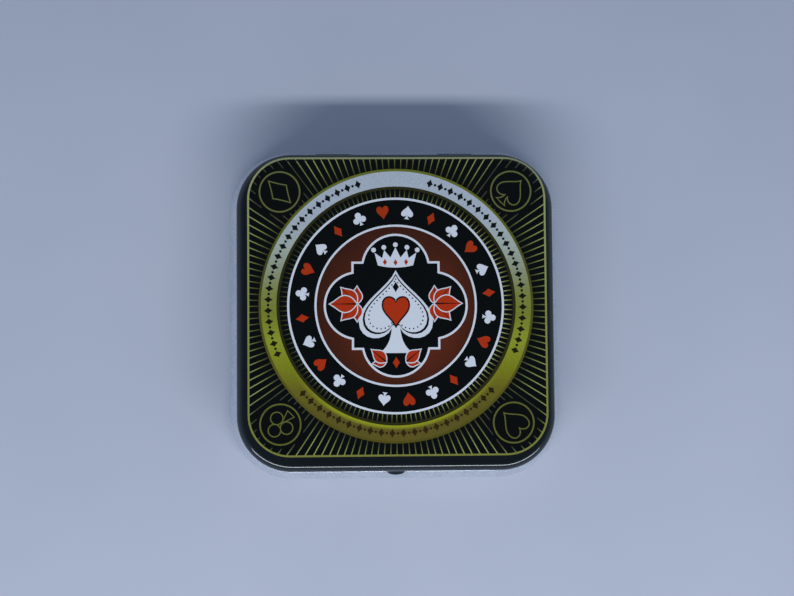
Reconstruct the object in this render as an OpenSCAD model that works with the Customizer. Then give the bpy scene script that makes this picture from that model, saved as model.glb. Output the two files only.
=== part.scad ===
// Dealer button in a square hinged tin.
// The origin is the middle of the tin's underside, +Z is up, the thumb notch faces -Y
// and the hinge runs along the +Y side. Each tinplate shell is one wall profile, drawn in
// a plane of radius and height, that runs round a square with round corners.

/* [Tin] */
// Width and depth of the lid, outside
lid_w = 72; // [68:0.5:110]
// How far the base's widest level stands out beyond the lid on every side
base_out = 2; // [1.2:0.1:3]
// Height of the closed tin
tin_h = 15.5; // [12.5:0.1:30]
// Outside corner radius of the lid
corner_r = 12.5; // [10:0.5:16]
// Thickness of the tinplate
sheet = 0.3; // [0.2:0.02:0.4]

/* [Lid] */
// Rounding between the lid's panel and its skirt
lid_edge_r = 1.7; // [0.8:0.1:2.5]
// Depth of the skirt, from the top of the panel to the lowest line of its hem
skirt_h = 5; // [4.1:0.1:6]
// Thickness of the curled hem along the skirt's lower edge
hem_d = 0.9; // [0.7:0.01:1.1]

/* [Base] */
// Rounding between the underside and the wall
foot_r = 3; // [1.5:0.1:4]
// Diameter of the bead that the lid's hem closes onto
bead_d = 0.9; // [0.7:0.01:1.2]
// Height of the neck above the middle of the bead
neck_h = 3.7; // [3:0.1:4]
// Height of the fold along the neck's rim
rim_fold = 1.2; // [0.8:0.1:2]
// Rise of the stiffening panel in the underside
panel_rise = 0.4; // [0.2:0.1:1]
// Width of the flat ring that the tin stands on
stand_ring = 5; // [3:0.5:6]

/* [Thumb notch] */
// Width of the notch where it crosses the bead
notch_w = 5; // [4:0.5:8]
// Depth of the notch, in from the face of the bead
notch_depth = 1.3; // [0.8:0.1:1.3]

/* [Hinge] */
// Length of each hinge tab along the hinge line
tab_w = 8; // [5:0.1:12]
// Distance between the middles of the two tabs
tab_pitch = 28; // [16:0.5:34]
// Where a tab's roll starts, in degrees above the level line behind the bead
roll_start = 100; // [95:5:110]
// How far the roll goes round the bead, in degrees
roll_angle = 300; // [240:5:310]

/* [Button] */
// Diameter of the dealer button
button_d = 50; // [38:0.5:60]
// Thickness of the button's metal at its rim
button_h = 3.3; // [2.5:0.05:5]
// Width of the raised rim on each face
button_rim = 2; // [1:0.1:4]
// Depth of the recess inside each rim
recess = 0.5; // [0.3:0.05:0.8]
// Thickness of the printed disc in each recess
print_t = 0.15; // [0.1:0.01:0.25]
// Rise of each clear dome above the rim
dome_rise = 0.45; // [0.2:0.05:0.8]
// Chamfer along the button's outer edges
button_chamfer = 0.3; // [0.1:0.05:0.5]

/* [Foam] */
// Thickness of the foam sheet glued under the lid
lid_foam_t = 1.8; // [1:0.1:3]
// Distance from the outside of the lid's skirt to that sheet
lid_foam_inset = 3.5; // [3:0.1:6]
// Radius of the two finger notches beside the button
finger_r = 8; // [6:0.5:9.5]

/* [Fits] */
// Clearance between the lid's hem and the neck that it slides over
neck_gap = 0.3; // [0.25:0.01:0.5]
// Gap between the hem and the bead of the closed tin
seat_gap = 0.15; // [0.1:0.01:0.3]
// Radial clearance between a rolled tab and the bead inside it
roll_gap = 0.05; // [0.03:0.01:0.1]
// Clearance between a rolled tab and the window in the base round it
window_gap = 0.25; // [0.2:0.01:0.5]
// Clearance between the foam sheets and the neck's rim
foam_gap = 0.2; // [0.1:0.01:1]
// Clearance round the button in its pocket
pocket_gap = 0.3; // [0.1:0.01:0.6]
// Gap between the button and the foam above it
top_gap = 0.4; // [0.2:0.01:1]
// Gap between the lower dome's crown and the foam below it
rest_gap = 0.05; // [0:0.01:0.1]
// Clearance round each printed disc in its recess
print_gap = 0.05; // [0.02:0.01:0.1]

/* [Hidden] */
$fn = 96;
cut = 0.5;                                        // how far a cutting solid passes a face
corner_c = lid_w / 2 - corner_r;                  // where the round corners have their centres
// Radii from those centres, and heights
base_r = corner_r + base_out;
bead_r = bead_d / 2;
bead_z = tin_h - skirt_h - seat_gap - bead_r;     // height of the hinge line
hem_r = hem_d / 2;
hem_z = tin_h - skirt_h + hem_r;
neck_r = corner_r - hem_d - neck_gap;
neck_in = neck_r - sheet;
rim_in = neck_r - 2 * sheet;
rim_z = bead_z + neck_h;
foot_c = base_r - foot_r;
floor_z = panel_rise + sheet;
panel_r = foot_c - stand_ring - panel_rise;
wall_z = bead_z - bead_r + sheet / 2;             // where the bulging wall runs into the bead
wall_lean = base_out + sheet / 2;                 // how far it has leant in by then
bulge_r = (pow(wall_lean, 2) + pow(wall_z - foot_r, 2)) / (2 * wall_lean);
foam_r = rim_in - foam_gap;
lid_foam_r = corner_r - lid_foam_inset;
// Hinge
roll_in = bead_r + roll_gap;
roll_out = roll_in + sheet;
window_w = tab_w + 2 * window_gap;
window_r = roll_out + window_gap;
slot_z = hem_z + hem_r + sheet / 2;               // top of the break in the hem at each tab
// Thumb notch: a ball as wide and as deep as the notch where it crosses the bead
notch_r = (pow(notch_w / 2, 2) + pow(notch_depth, 2)) / (2 * notch_depth);
notch_y = lid_w / 2 + bead_r - notch_depth + notch_r;
notch_z = bead_z + bead_r;
// Button
button_t = button_h + 2 * dome_rise;
button_top = tin_h - sheet - lid_foam_t - top_gap;
button_z = button_top - button_t / 2;
pocket_z = button_top - button_t - rest_gap;
disc_r = button_d / 2 - button_rim - print_gap;
dome_r = (pow(disc_r, 2) + pow(dome_rise, 2)) / (2 * dome_rise);
dome_steps = 8;

// Runs a profile of radius and height round the square with round corners.
module run_round() {
    for (i = [0:3]) rotate([0, 0, 90 * i]) {
        translate([corner_c, corner_c, 0]) rotate_extrude(angle = 90) children();
        translate([corner_c, 0, 0]) rotate([90, 0, 0])
            linear_extrude(height = 2 * corner_c, center = true) children();
    }
}

// The square between the corner centres, which run_round leaves open.
module middle(z, t) {
    translate([-corner_c, -corner_c, z]) cube([2 * corner_c, 2 * corner_c, t]);
}

// A flat sheet whose edge is r beyond the corner centres, from height z up.
module round_sheet(r, z, t) {
    run_round() translate([0, z]) square([r, t]);
    middle(z, t);
}

// The part of a profile between two heights.
module between(low, high) {
    intersection() {
        children();
        translate([0, low]) square([base_r + cut, high - low]);
    }
}

// What the base's wall encloses, drawn in by inset: a rounded foot, then the bulge.
module wall_outline(inset) {
    translate([0, inset]) square([foot_c, foot_r - inset]);
    translate([foot_c, foot_r]) circle(foot_r - inset);
    between(foot_r, wall_z) translate([base_r - bulge_r, foot_r]) circle(bulge_r - inset);
    translate([0, foot_r]) square([neck_in, wall_z - foot_r]);
}

// The underside from the raised panel out to the ring that the tin stands on.
module underside_profile() {
    step = panel_r + panel_rise;
    polygon([[0, panel_rise], [panel_r, panel_rise], [step, 0], [step + sheet, 0],
             [step + sheet, sheet], [panel_r + sheet / 2, floor_z], [0, floor_z]]);
}

module base_profile() {
    difference() {
        between(0, wall_z) wall_outline(0);
        wall_outline(sheet);
        square([panel_r + panel_rise + sheet, sheet]);
    }
    underside_profile();
    // Bead, shoulder and neck
    translate([corner_r, bead_z]) circle(bead_r);
    translate([neck_in, bead_z - sheet]) square([corner_r - neck_in, sheet]);
    translate([neck_in, bead_z - sheet]) square([sheet, neck_h]);
    // The neck's edge is folded flat against its inside
    translate([rim_in, rim_z - rim_fold]) square([sheet, rim_fold - sheet]);
    translate([neck_in, rim_z - sheet]) circle(sheet);
}

// The dent that the thumb notch presses into the wall, before its hollow is cut.
module notch_dent() {
    intersection() {
        notch_ball(notch_r + sheet);
        translate([0, -corner_c, 0]) rotate([90, 0, -90])
            linear_extrude(height = notch_w + 2, center = true) {
                difference() {
                    between(foot_r, wall_z) wall_outline(0);
                    translate([0, foot_r]) square([neck_in, wall_z]);
                }
                translate([neck_in, wall_z - sheet]) square([corner_r - neck_in, bead_z - wall_z + sheet]);
            }
    }
}

module notch_ball(r) {
    translate([0, -notch_y, notch_z]) sphere(r);
}

// Round the hinge tab on one side, the shoulder and the wall's top are open.
module hinge_window() {
    translate([-window_w / 2, lid_w / 2 - window_r, bead_z - window_r])
        cube([window_w, window_r + base_out + cut, 2 * window_r]);
}

// In its window the bead runs on as a bare bar, which the lid's tab is rolled round.
module hinge_bar() {
    translate([0, lid_w / 2, bead_z]) rotate([0, 90, 0]) cylinder(h = window_w, r = bead_r, center = true);
}

module at_tabs() {
    for (side = [-1, 1]) translate([side * tab_pitch / 2, 0, 0]) children();
}

module base_shell() {
    color([0.72, 0.77, 0.83]) {
        difference() {
            union() {
                run_round() base_profile();
                middle(panel_rise, sheet);
                notch_dent();
            }
            notch_ball(notch_r);
            at_tabs() hinge_window();
        }
        at_tabs() hinge_bar();
    }
}

module foam_base() {
    color([0.12, 0.12, 0.13]) round_sheet(foam_r, floor_z, pocket_z - floor_z);
}

module foam_insert() {
    color([0.12, 0.12, 0.13]) difference() {
        round_sheet(foam_r, pocket_z, button_top - pocket_z);
        translate([0, 0, pocket_z - cut]) cylinder(h = button_t + 2 * cut, r = button_d / 2 + pocket_gap);
        for (turn = [-45, 135]) rotate([0, 0, turn]) translate([button_d / 2, 0, pocket_z - cut])
            cylinder(h = button_t + 2 * cut, r = finger_r);
    }
}

module button_core() {
    edge = button_d / 2;
    half = button_h / 2;
    rim = edge - button_rim;
    color([0.75, 0.62, 0.3]) translate([0, 0, button_z]) rotate_extrude()
        polygon([[0, recess - half], [rim, recess - half], [rim, -half], [edge - button_chamfer, -half],
                 [edge, button_chamfer - half], [edge, half - button_chamfer],
                 [edge - button_chamfer, half], [rim, half], [rim, half - recess], [0, half - recess]]);
}

// What lies in the upper recess, and turned over, what lies in the lower one.
module print_disc() {
    translate([0, 0, button_h / 2 - recess]) cylinder(h = print_t, r = disc_r);
}

module dome() {
    low = button_h / 2 - recess + print_t;
    rim = button_h / 2;
    crown = [for (i = [0:dome_steps]) let (x = disc_r * (1 - i / dome_steps))
             [x, rim + dome_rise - dome_r + sqrt(dome_r * dome_r - x * x)]];
    rotate_extrude() polygon(concat([[0, low], [disc_r, low]], crown));
}

module on_front() {
    translate([0, 0, button_z]) children();
}

module on_back() {
    translate([0, 0, button_z]) rotate([180, 0, 0]) children();
}

module front_print() {
    color([0.55, 0.12, 0.08]) on_front() print_disc();
}

module back_print() {
    color([0.55, 0.12, 0.08]) on_back() print_disc();
}

module front_dome() {
    color([0.9, 0.95, 1], 0.3) on_front() dome();
}

module back_dome() {
    color([0.9, 0.95, 1], 0.3) on_back() dome();
}

// What the lid's panel and skirt enclose, drawn in by inset.
module lid_outline(inset) {
    translate([0, hem_z]) square([corner_r - inset, tin_h - lid_edge_r - hem_z]);
    translate([0, hem_z]) square([corner_r - lid_edge_r, tin_h - inset - hem_z]);
    translate([corner_r - lid_edge_r, tin_h - lid_edge_r]) circle(lid_edge_r - inset);
}

module lid_profile() {
    difference() {
        lid_outline(0);
        lid_outline(sheet);
    }
    translate([corner_r - hem_r, hem_z]) circle(hem_r);
}

// The break in the hem where a hinge tab leaves the skirt.
module hem_break() {
    translate([-window_w / 2, lid_w / 2 - hem_d - cut, hem_z - hem_r - cut])
        cube([window_w, hem_d + 2 * cut, slot_z - hem_z + hem_r + cut]);
}

// A tab runs down from the skirt and is rolled round the bead.
module hinge_tab() {
    roll_end = roll_start + 360 - roll_angle;
    reach = 2 * roll_out;
    translate([0, lid_w / 2, bead_z]) rotate([90, 0, 90])
        linear_extrude(height = tab_w, center = true) {
            difference() {
                circle(roll_out);
                circle(roll_in);
                polygon(concat([[0, 0]], [for (a = [roll_start:20:roll_end]) reach * [cos(a), sin(a)]]));
            }
            difference() {
                translate([-sheet, roll_in - sheet / 2]) square([sheet, slot_z - bead_z - roll_in + sheet / 2]);
                circle(roll_in);
            }
        }
}

module lid_shell() {
    color([0.08, 0.1, 0.1]) {
        difference() {
            run_round() lid_profile();
            at_tabs() hem_break();
        }
        middle(tin_h - sheet, sheet);
        at_tabs() hinge_tab();
    }
}

module lid_foam() {
    color([0.12, 0.12, 0.13]) round_sheet(lid_foam_r, tin_h - sheet - lid_foam_t, lid_foam_t);
}

base_shell();
foam_base();
foam_insert();
button_core();
front_print();
back_print();
front_dome();
back_dome();
lid_shell();
lid_foam();
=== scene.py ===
# %% [markdown]
# # A dealer button in its hinged tin
#
# A dealer button marks the player who deals at a card table. This one is a heavy metal disc, and it
# lives in a small square tin: a drawn base, foam cut to hold the button, and a printed lid that turns
# on two rolled tabs. The CAD model fixes every size. This lesson gives the parts their finishes and
# makes the printing, on the lid and on the button, as thin layers of ink.

# %% Load the fixed frame
import math

import bmesh
import bpy
from mathutils import Matrix, Vector
from mathutils.geometry import tessellate_polygon


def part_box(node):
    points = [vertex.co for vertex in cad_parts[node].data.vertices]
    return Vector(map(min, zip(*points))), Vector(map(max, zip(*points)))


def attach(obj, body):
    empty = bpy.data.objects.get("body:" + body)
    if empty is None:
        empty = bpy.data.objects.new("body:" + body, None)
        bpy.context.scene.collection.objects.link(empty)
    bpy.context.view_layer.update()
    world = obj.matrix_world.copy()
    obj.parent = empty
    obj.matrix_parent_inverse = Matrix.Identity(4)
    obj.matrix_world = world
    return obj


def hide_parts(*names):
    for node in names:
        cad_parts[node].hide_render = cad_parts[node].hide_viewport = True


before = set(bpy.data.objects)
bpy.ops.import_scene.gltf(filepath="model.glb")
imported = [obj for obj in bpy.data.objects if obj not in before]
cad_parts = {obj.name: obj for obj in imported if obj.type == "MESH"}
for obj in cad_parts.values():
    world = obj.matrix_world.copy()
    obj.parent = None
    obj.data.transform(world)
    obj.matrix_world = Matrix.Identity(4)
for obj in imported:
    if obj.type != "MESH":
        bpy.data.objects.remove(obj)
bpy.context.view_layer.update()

MM = 0.001

# %% [markdown]
# ## Measures
#
# Everything is drawn in millimetres and turned to metres at the last moment. The places come from the
# boxes of the CAD nodes. Only what a box can't tell, such as the radius of a rounded corner, is
# written here again, as the design gives it.

# %% Measures from the CAD nodes


def node_box(name):
    """Lowest and highest corner of a CAD node, in millimetres."""
    low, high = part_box(name)
    return low / MM, high / MM


LID_TOP = node_box("lid_shell")[1].z
LID_HALF = node_box("lid_shell")[1].x
LID_CORNER_R = 12.5
LID_EDGE_R = 1.7
SHEET = 0.3
HEM_DOWN = 4.1
BUTTON_R = node_box("button_core")[1].x
PRINT_R = node_box("front_print")[1].x
FRONT_Z = node_box("front_print")[1].z
BACK_Z = node_box("back_print")[0].z
CORNER_C = LID_HALF - LID_CORNER_R
print(f"lid {2 * LID_HALF:.1f} mm, top at {LID_TOP:.2f} mm, button {2 * BUTTON_R:.1f} mm across")

# %% [markdown]
# ## Drawing outlines
#
# A printer's artwork is made of outlines. An outline here is a list of (x, y) points that closes by
# itself. Round stretches are arcs and Bezier curves, so that each shape is given by the few points
# that it needs. Symmetric shapes are drawn as their right half, from the top down, and mirrored.

# %% Arcs, curves and mirrored outlines


def arc(x, y, radius, start, end, steps=12):
    """Points along a circle's arc, with its angles in degrees from +X, anticlockwise."""
    turns = [math.radians(start + (end - start) * i / steps) for i in range(steps + 1)]
    return [(x + radius * math.cos(a), y + radius * math.sin(a)) for a in turns]


def circle(radius, x=0.0, y=0.0, steps=48):
    """Points round a whole circle."""
    return arc(x, y, radius, 0, 360, steps)[:-1]


def bezier(a, b, c, d, steps=8):
    """Points along a Bezier curve from a to d, which b and c pull at."""
    points = []
    for i in range(steps + 1):
        t = i / steps
        weights = ((1 - t) ** 3, 3 * t * (1 - t) ** 2, 3 * t * t * (1 - t), t**3)
        points.append(tuple(sum(w * p[k] for w, p in zip(weights, (a, b, c, d))) for k in (0, 1)))
    return points


def joined(*stretches):
    """One line from several that meet end to end."""
    points = []
    for stretch in stretches:
        points += [p for p in stretch if not points or math.dist(p, points[-1]) > 1e-6]
    return points


def mirrored(half):
    """Closes the right half of an outline with its mirror image."""
    return half + [(-x, y) for x, y in reversed(half) if x > 1e-6]


# %% Offset, move and widen outlines


def offset(loop, by):
    """An outline moved outwards by a distance, or inwards where that is negative."""
    area = sum(p[0] * q[1] - p[1] * q[0] for p, q in zip(loop, loop[1:] + loop[:1]))
    side = 1 if area > 0 else -1
    moved = []
    for before, here, after in zip(loop[-1:] + loop[:-1], loop, loop[1:] + loop[:1]):
        edge_in = (Vector(here) - Vector(before)).normalized()
        edge_out = (Vector(after) - Vector(here)).normalized()
        out = Vector((edge_in.y + edge_out.y, -edge_in.x - edge_out.x)) * side
        point = Vector(here) + out * by / max(out.length_squared / 2, 0.5)
        moved.append((point.x, point.y))
    return moved


def moved(loop, x=0.0, y=0.0, scale=1.0, turn=0.0):
    """An outline scaled, turned clockwise in degrees, and shifted."""
    c, s = math.cos(math.radians(turn)), math.sin(math.radians(turn))
    return [(x + scale * (px * c + py * s), y + scale * (py * c - px * s)) for px, py in loop]


def band(loop, width):
    """A line of that width drawn along an outline, as the outline outside it and the hole inside."""
    return [offset(loop, width / 2), offset(loop, -width / 2)]


def stroke(line, widths):
    """A brush stroke along an open line, whose width changes evenly through widths."""
    left, right = [], []
    for i, point in enumerate(line):
        share = i / (len(line) - 1) * (len(widths) - 1)
        k = min(int(share), len(widths) - 2)
        half = (widths[k] + (widths[k + 1] - widths[k]) * (share - k)) / 2
        along = Vector(line[min(i + 1, len(line) - 1)]) - Vector(line[max(i - 1, 0)])
        along.normalize()
        left.append((point[0] - along.y * half, point[1] + along.x * half))
        right.append((point[0] + along.y * half, point[1] - along.x * half))
    return left + right[::-1]


def split_sides(loop, longest=2.0):
    """Cuts the long straight sides of an outline into shorter ones."""
    points = []
    for a, b in zip(loop, loop[1:] + loop[:1]):
        cuts = max(1, math.ceil(math.dist(a, b) / longest))
        points += [(a[0] + (b[0] - a[0]) * k / cuts, a[1] + (b[1] - a[1]) * k / cuts) for k in range(cuts)]
    return points


def rounded_square(half, radius, steps=14):
    """A square with round corners, whose flat sides lie half from the middle."""
    c = half - radius
    sides = [(c, c, 0), (-c, c, 90), (-c, -c, 180), (c, -c, 270)]
    return joined(*[arc(x, y, radius, a, a + 90, steps) for x, y, a in sides])


# %% [markdown]
# ## From outlines to solid ink
#
# A print on tinplate is only a few thousandths of a millimetre thick. It could be an image on the
# surface, but an image gets coarse from near by, and a solid stays sharp. So each colour is a plate
# with real thickness, sunk a little into what it is printed on. Each later colour stands one small
# step higher, so that it covers the earlier one.

# %% Plates and pieces

INK_STEP = 0.012
INK_SUNK = 0.03


def layer(n):
    """Height of the n-th colour's top above the surface that it is printed on."""
    return n * INK_STEP


def plate(shapes, top, bottom=-INK_SUNK):
    """Flat closed plates as a bmesh. Each shape is a list of its outline and the holes in it."""
    made = bmesh.new()
    for loops in shapes:
        rings = [[[made.verts.new((x, y, z)) for x, y in loop] for loop in loops] for z in (bottom, top)]
        flat = tessellate_polygon([[Vector((x, y, 0)) for x, y in loop] for loop in loops])
        for ring in rings:
            corners = [v for loop in ring for v in loop]
            for a, b, c in flat:
                made.faces.new((corners[a], corners[b], corners[c]))
        for lower, upper in zip(*rings):
            for i in range(len(lower)):
                made.faces.new((lower[i - 1], lower[i], upper[i], upper[i - 1]))
    bmesh.ops.recalc_face_normals(made, faces=made.faces)
    return made


def as_drawn(point):
    """Leaves a point where it was drawn."""
    return point


def piece(name, made, finish, place=as_drawn):
    """Makes a bmesh in millimetres an object in metres, with each point moved by place."""
    mesh = bpy.data.meshes.new(name)
    for vertex in made.verts:
        vertex.co = Vector(place(vertex.co)) * MM
    made.to_mesh(mesh)
    made.free()
    mesh.materials.append(finish)
    obj = bpy.data.objects.new(name, mesh)
    bpy.context.scene.collection.objects.link(obj)
    return obj


def shaded(obj, degrees=40):
    """Smooth shading, with edges sharper than that angle kept crisp."""
    for polygon in obj.data.polygons:
        polygon.use_smooth = True
    obj.data.set_sharp_from_angle(angle=math.radians(degrees))
    return obj


# %% [markdown]
# The round artwork sits a little behind the lid's middle, and the frame line a little right of it, as
# on a sheet that slipped in the press. Near its rear edge the frame line already runs over the lid's
# rounding. So a place on the lid takes a point straight down onto the rounded surface, and lifts it
# along the surface's normal.

# %% Places for the artwork

PRINT_SHIFT = (0.0, 1.35)
BUTTON_SCALE = 0.93


def on_lid(point):
    """A point of the artwork, laid on the lid's panel and over its rounded edge."""
    x, y, rise = point[0] + PRINT_SHIFT[0], point[1] + PRINT_SHIFT[1], point[2]
    side = Vector([math.copysign(max(abs(c) - CORNER_C, 0), c) for c in (x, y)])
    over = side.length - (LID_CORNER_R - LID_EDGE_R)
    if over <= 0:
        return x, y, LID_TOP + rise
    lean = math.asin(min(over / LID_EDGE_R, 1))
    side *= rise * math.sin(lean) / side.length
    z = LID_TOP - LID_EDGE_R + (LID_EDGE_R + rise) * math.cos(lean)
    return x + side.x, y + side.y, z


def on_front(point):
    """The design laid on the front disc, a little smaller than on the lid."""
    return point[0] * BUTTON_SCALE, point[1] * BUTTON_SCALE, FRONT_Z + point[2]


def on_back(point):
    """The front's design turned over about the X axis, so that it isn't mirrored."""
    return point[0] * BUTTON_SCALE, -point[1] * BUTTON_SCALE, BACK_Z - point[2]


# %% [markdown]
# ## Nodes
#
# Materials and Geometry Nodes are built the same way: nodes with settings, and links between them.
# One small function does it all. Where a value is another node, its first output is linked.

# %% One function adds a node


def add_node(tree, kind, inputs=None, **settings):
    """Adds a node. inputs gives each socket a value, a node or one of a node's outputs."""
    node = tree.nodes.new(kind)
    for key, value in settings.items():
        setattr(node, key, value)
    for key, value in (inputs or {}).items():
        source = value.outputs[0] if isinstance(value, bpy.types.Node) else value
        if isinstance(source, bpy.types.NodeSocket):
            tree.links.new(source, node.inputs[key])
        else:
            node.inputs[key].default_value = source
    return node


def colour(hex_code):
    """An sRGB hex colour as the linear colour, with alpha, that shaders take."""
    shares = [int(hex_code[i:i + 2], 16) / 255 for i in (1, 3, 5)]
    return (*[s / 12.92 if s <= 0.04045 else ((s + 0.055) / 1.055) ** 2.4 for s in shares], 1)


def new_material(name):
    """A material with one Principled shader. Gives the material, its node tree and the shader."""
    material = bpy.data.materials.new(name)
    material.use_nodes = True
    tree = material.node_tree
    tree.nodes.clear()
    shader = add_node(tree, "ShaderNodeBsdfPrincipled")
    add_node(tree, "ShaderNodeOutputMaterial", {"Surface": shader})
    return material, tree, shader


def in_millimetres(tree, shift=(0, 0)):
    """The piece's own coordinates in millimetres, from a middle shifted by shift."""
    place = add_node(tree, "ShaderNodeTexCoord").outputs["Object"]
    return add_node(tree, "ShaderNodeMapping", {
        "Vector": place, "Scale": (1 / MM, 1 / MM, 1 / MM), "Location": (-shift[0], -shift[1], 0)})


def ramp(tree, value, stops):
    """A colour ramp over value, with stops as (place, hex colour) in the value's own units."""
    low, high = stops[0][0], stops[-1][0]
    share = add_node(tree, "ShaderNodeMapRange", {"Value": value, "From Min": low, "From Max": high})
    node = add_node(tree, "ShaderNodeValToRGB", {"Fac": share})
    points = node.color_ramp.elements
    while len(points) < len(stops):
        points.new(0.5)
    for point, (place, code) in zip(points, stops):
        point.position = (place - low) / (high - low)
    for point, (place, code) in zip(points, stops):
        point.color = colour(code)
    return node


# %% [markdown]
# ## Lithographed ink
#
# The lid is printed flat, by offset lithography, on coated tinplate, and then varnished. Offset
# printing lays colour as a rosette of dots about 0.15 mm apart, which is too fine to show, so the
# mottle here is drawn two to three times as coarse. The varnish gives every colour the same clear
# gloss, with a faint orange-peel wave a millimetre or two long. Most inks are one colour. The gold
# ones run through a ramp over the height on the lid, and that ramp is painted sheen: it stands in
# for the way metallic gold ink catches the lamps, lighter towards the top.

# %% The varnish that all inks share

MOTTLE_MM = 0.4
PEEL_MM = 1.6
VARNISH_ROUGHNESS = 0.12


def varnish(tree, shader, place, paint, mottle=0.1):
    """Finishes a printed colour: a fine mottle in it, and clear gloss with a slight wave over it."""
    specks = add_node(tree, "ShaderNodeTexNoise", {"Vector": place, "Scale": 1 / MOTTLE_MM, "Detail": 3})
    share = add_node(tree, "ShaderNodeMapRange", {
        "Value": specks, "From Min": 0.3, "From Max": 0.7, "To Min": 1 - mottle, "To Max": 1 + mottle})
    mixed = add_node(tree, "ShaderNodeVectorMath", {0: paint, "Scale": share}, operation="SCALE")
    tree.links.new(mixed.outputs[0], shader.inputs["Base Color"])
    waves = add_node(tree, "ShaderNodeTexNoise", {"Vector": place, "Scale": 1 / PEEL_MM, "Detail": 2})
    gloss = add_node(tree, "ShaderNodeMapRange", {
        "Value": waves, "To Min": VARNISH_ROUGHNESS - 0.03, "To Max": VARNISH_ROUGHNESS + 0.04})
    tree.links.new(gloss.outputs[0], shader.inputs["Roughness"])
    peel = add_node(tree, "ShaderNodeBump", {"Height": waves, "Strength": 0.04, "Distance": 0.01 * MM})
    tree.links.new(peel.outputs[0], shader.inputs["Normal"])
    shader.inputs["IOR"].default_value = 1.48


# %% Plain and blended inks


def plain_ink(name, code, mottle=0.1):
    """One solid printed colour."""
    material, tree, shader = new_material(name)
    paint = add_node(tree, "ShaderNodeRGB")
    paint.outputs[0].default_value = colour(code)
    varnish(tree, shader, in_millimetres(tree), paint, mottle)
    return material


def blended_ink(name, stops, axis="Y", mottle=0.1):
    """A colour that runs through stops along one axis of the artwork; on the gold inks it is painted sheen.
    """
    material, tree, shader = new_material(name)
    place = in_millimetres(tree, PRINT_SHIFT)
    along = add_node(tree, "ShaderNodeSeparateXYZ", {"Vector": place}).outputs[axis]
    varnish(tree, shader, place, ramp(tree, along, stops), mottle)
    return material


WHITE_INK = plain_ink("white_litho_ink", "#F0EFF2", 0.03)
BLACK_INK = plain_ink("black_litho_ink", "#050807", 0.3)
RED_INK = blended_ink("warm_red_litho_ink", [(-26, "#C4360F"), (0, "#CA3810"), (26, "#B83A0F")])
SHADE_INK = plain_ink("dark_olive_litho_ink", "#363310")
# The ramps of the corner marks' line and of the frame line are painted sheen, lighter towards the top of
# the lid
MARK_INK = blended_ink("olive_line_painted_sheen", [(-32, "#6F6F2C"), (32, "#74773F")])
FRAME_INK = blended_ink("pale_gold_line_painted_sheen", [(-34, "#908E40"), (0, "#9FA54D"), (34, "#B6B47C")])
ORNAMENT_INK = blended_ink("brown_black_litho_ink", [(-29, "#3E2A0A"), (-14, "#272209"), (6, "#0E1410")])
print("plain and blended inks ready")

# %% [markdown]
# Four of the colours change in a way of their own. The broad ring is painted reflection: it runs from
# white at the top, through green gold at the sides, to ochre at the bottom, where a painted glint lays
# a bright line along its inner edge, as metallic gold ink would catch the lamps.
# The red ground behind the emblem is warmest in the middle and darkens towards its edge. The ticks
# are bright at the right and all but sink into the black at the left. The rays come up out of the
# black as they leave the ring, and sink again near the corner marks.

# %% Gold ring and red ground


def from_middle(tree, place):
    """A place flattened onto the artwork, and its distance from the artwork's middle."""
    flat = add_node(tree, "ShaderNodeVectorMath", {0: place, 1: (1, 1, 0)}, operation="MULTIPLY")
    radius = add_node(tree, "ShaderNodeVectorMath", {0: flat}, operation="LENGTH")
    return flat, radius.outputs["Value"]


def gold_ring_ink():
    """Gold ink without metal, with painted reflection: white at the top, green gold at the sides, ochre at
    the bottom, and a painted glint along the inner edge low down.
    """
    material, tree, shader = new_material("gold_painted_reflection_ink")
    place = in_millimetres(tree, PRINT_SHIFT)
    height = add_node(tree, "ShaderNodeSeparateXYZ", {"Vector": place}).outputs["Y"]
    # Painted reflection: the ramp over the height stands in for the lamps' sheen on metallic gold ink
    body = ramp(tree, height, [
        (-24, "#6F6122"), (-19, "#7A701F"), (-14, "#90901D"), (-8, "#A4A930"), (-2, "#8D902F"),
        (3, "#949749"), (8, "#A7A985"), (14, "#BFC6B6"), (21, "#C7CBD1")])
    radius = from_middle(tree, place)[1]
    # Painted glint: a bright yellow-green line along the inner edge, low on the ring
    inner = add_node(tree, "ShaderNodeMapRange", {"Value": radius, "From Min": 28.1, "From Max": 27.3})
    low = add_node(tree, "ShaderNodeMapRange", {"Value": height, "From Min": -15, "From Max": -24})
    share = add_node(tree, "ShaderNodeMath", {0: inner, 1: low}, operation="MULTIPLY")
    paint = add_node(tree, "ShaderNodeMix", {0: share, 6: body, 7: colour("#ABAA22")}, data_type="RGBA")
    varnish(tree, shader, place, paint.outputs[2])
    return material


def ground_ink():
    """A dull brick red, a little cloudy, that glows in the middle like a lit backdrop."""
    material, tree, shader = new_material("deep_red_litho_ink")
    place = in_millimetres(tree, PRINT_SHIFT)
    glow = in_millimetres(tree, (PRINT_SHIFT[0] + 1.5, PRINT_SHIFT[1] - 1.5))
    away = from_middle(tree, glow)[1]
    clouds = add_node(tree, "ShaderNodeTexNoise", {"Vector": place, "Scale": 1 / 9, "Detail": 1})
    drift = add_node(tree, "ShaderNodeMath", {0: clouds, 1: 4.0, 2: away}, operation="MULTIPLY_ADD")
    paint = ramp(tree, drift, [(8, "#7A301A"), (13, "#6A2B17"), (18, "#522411"), (22, "#461E0F")])
    varnish(tree, shader, place, paint)
    return material


# %% Fading rays and ticks

MARK_C = 26.28


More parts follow.
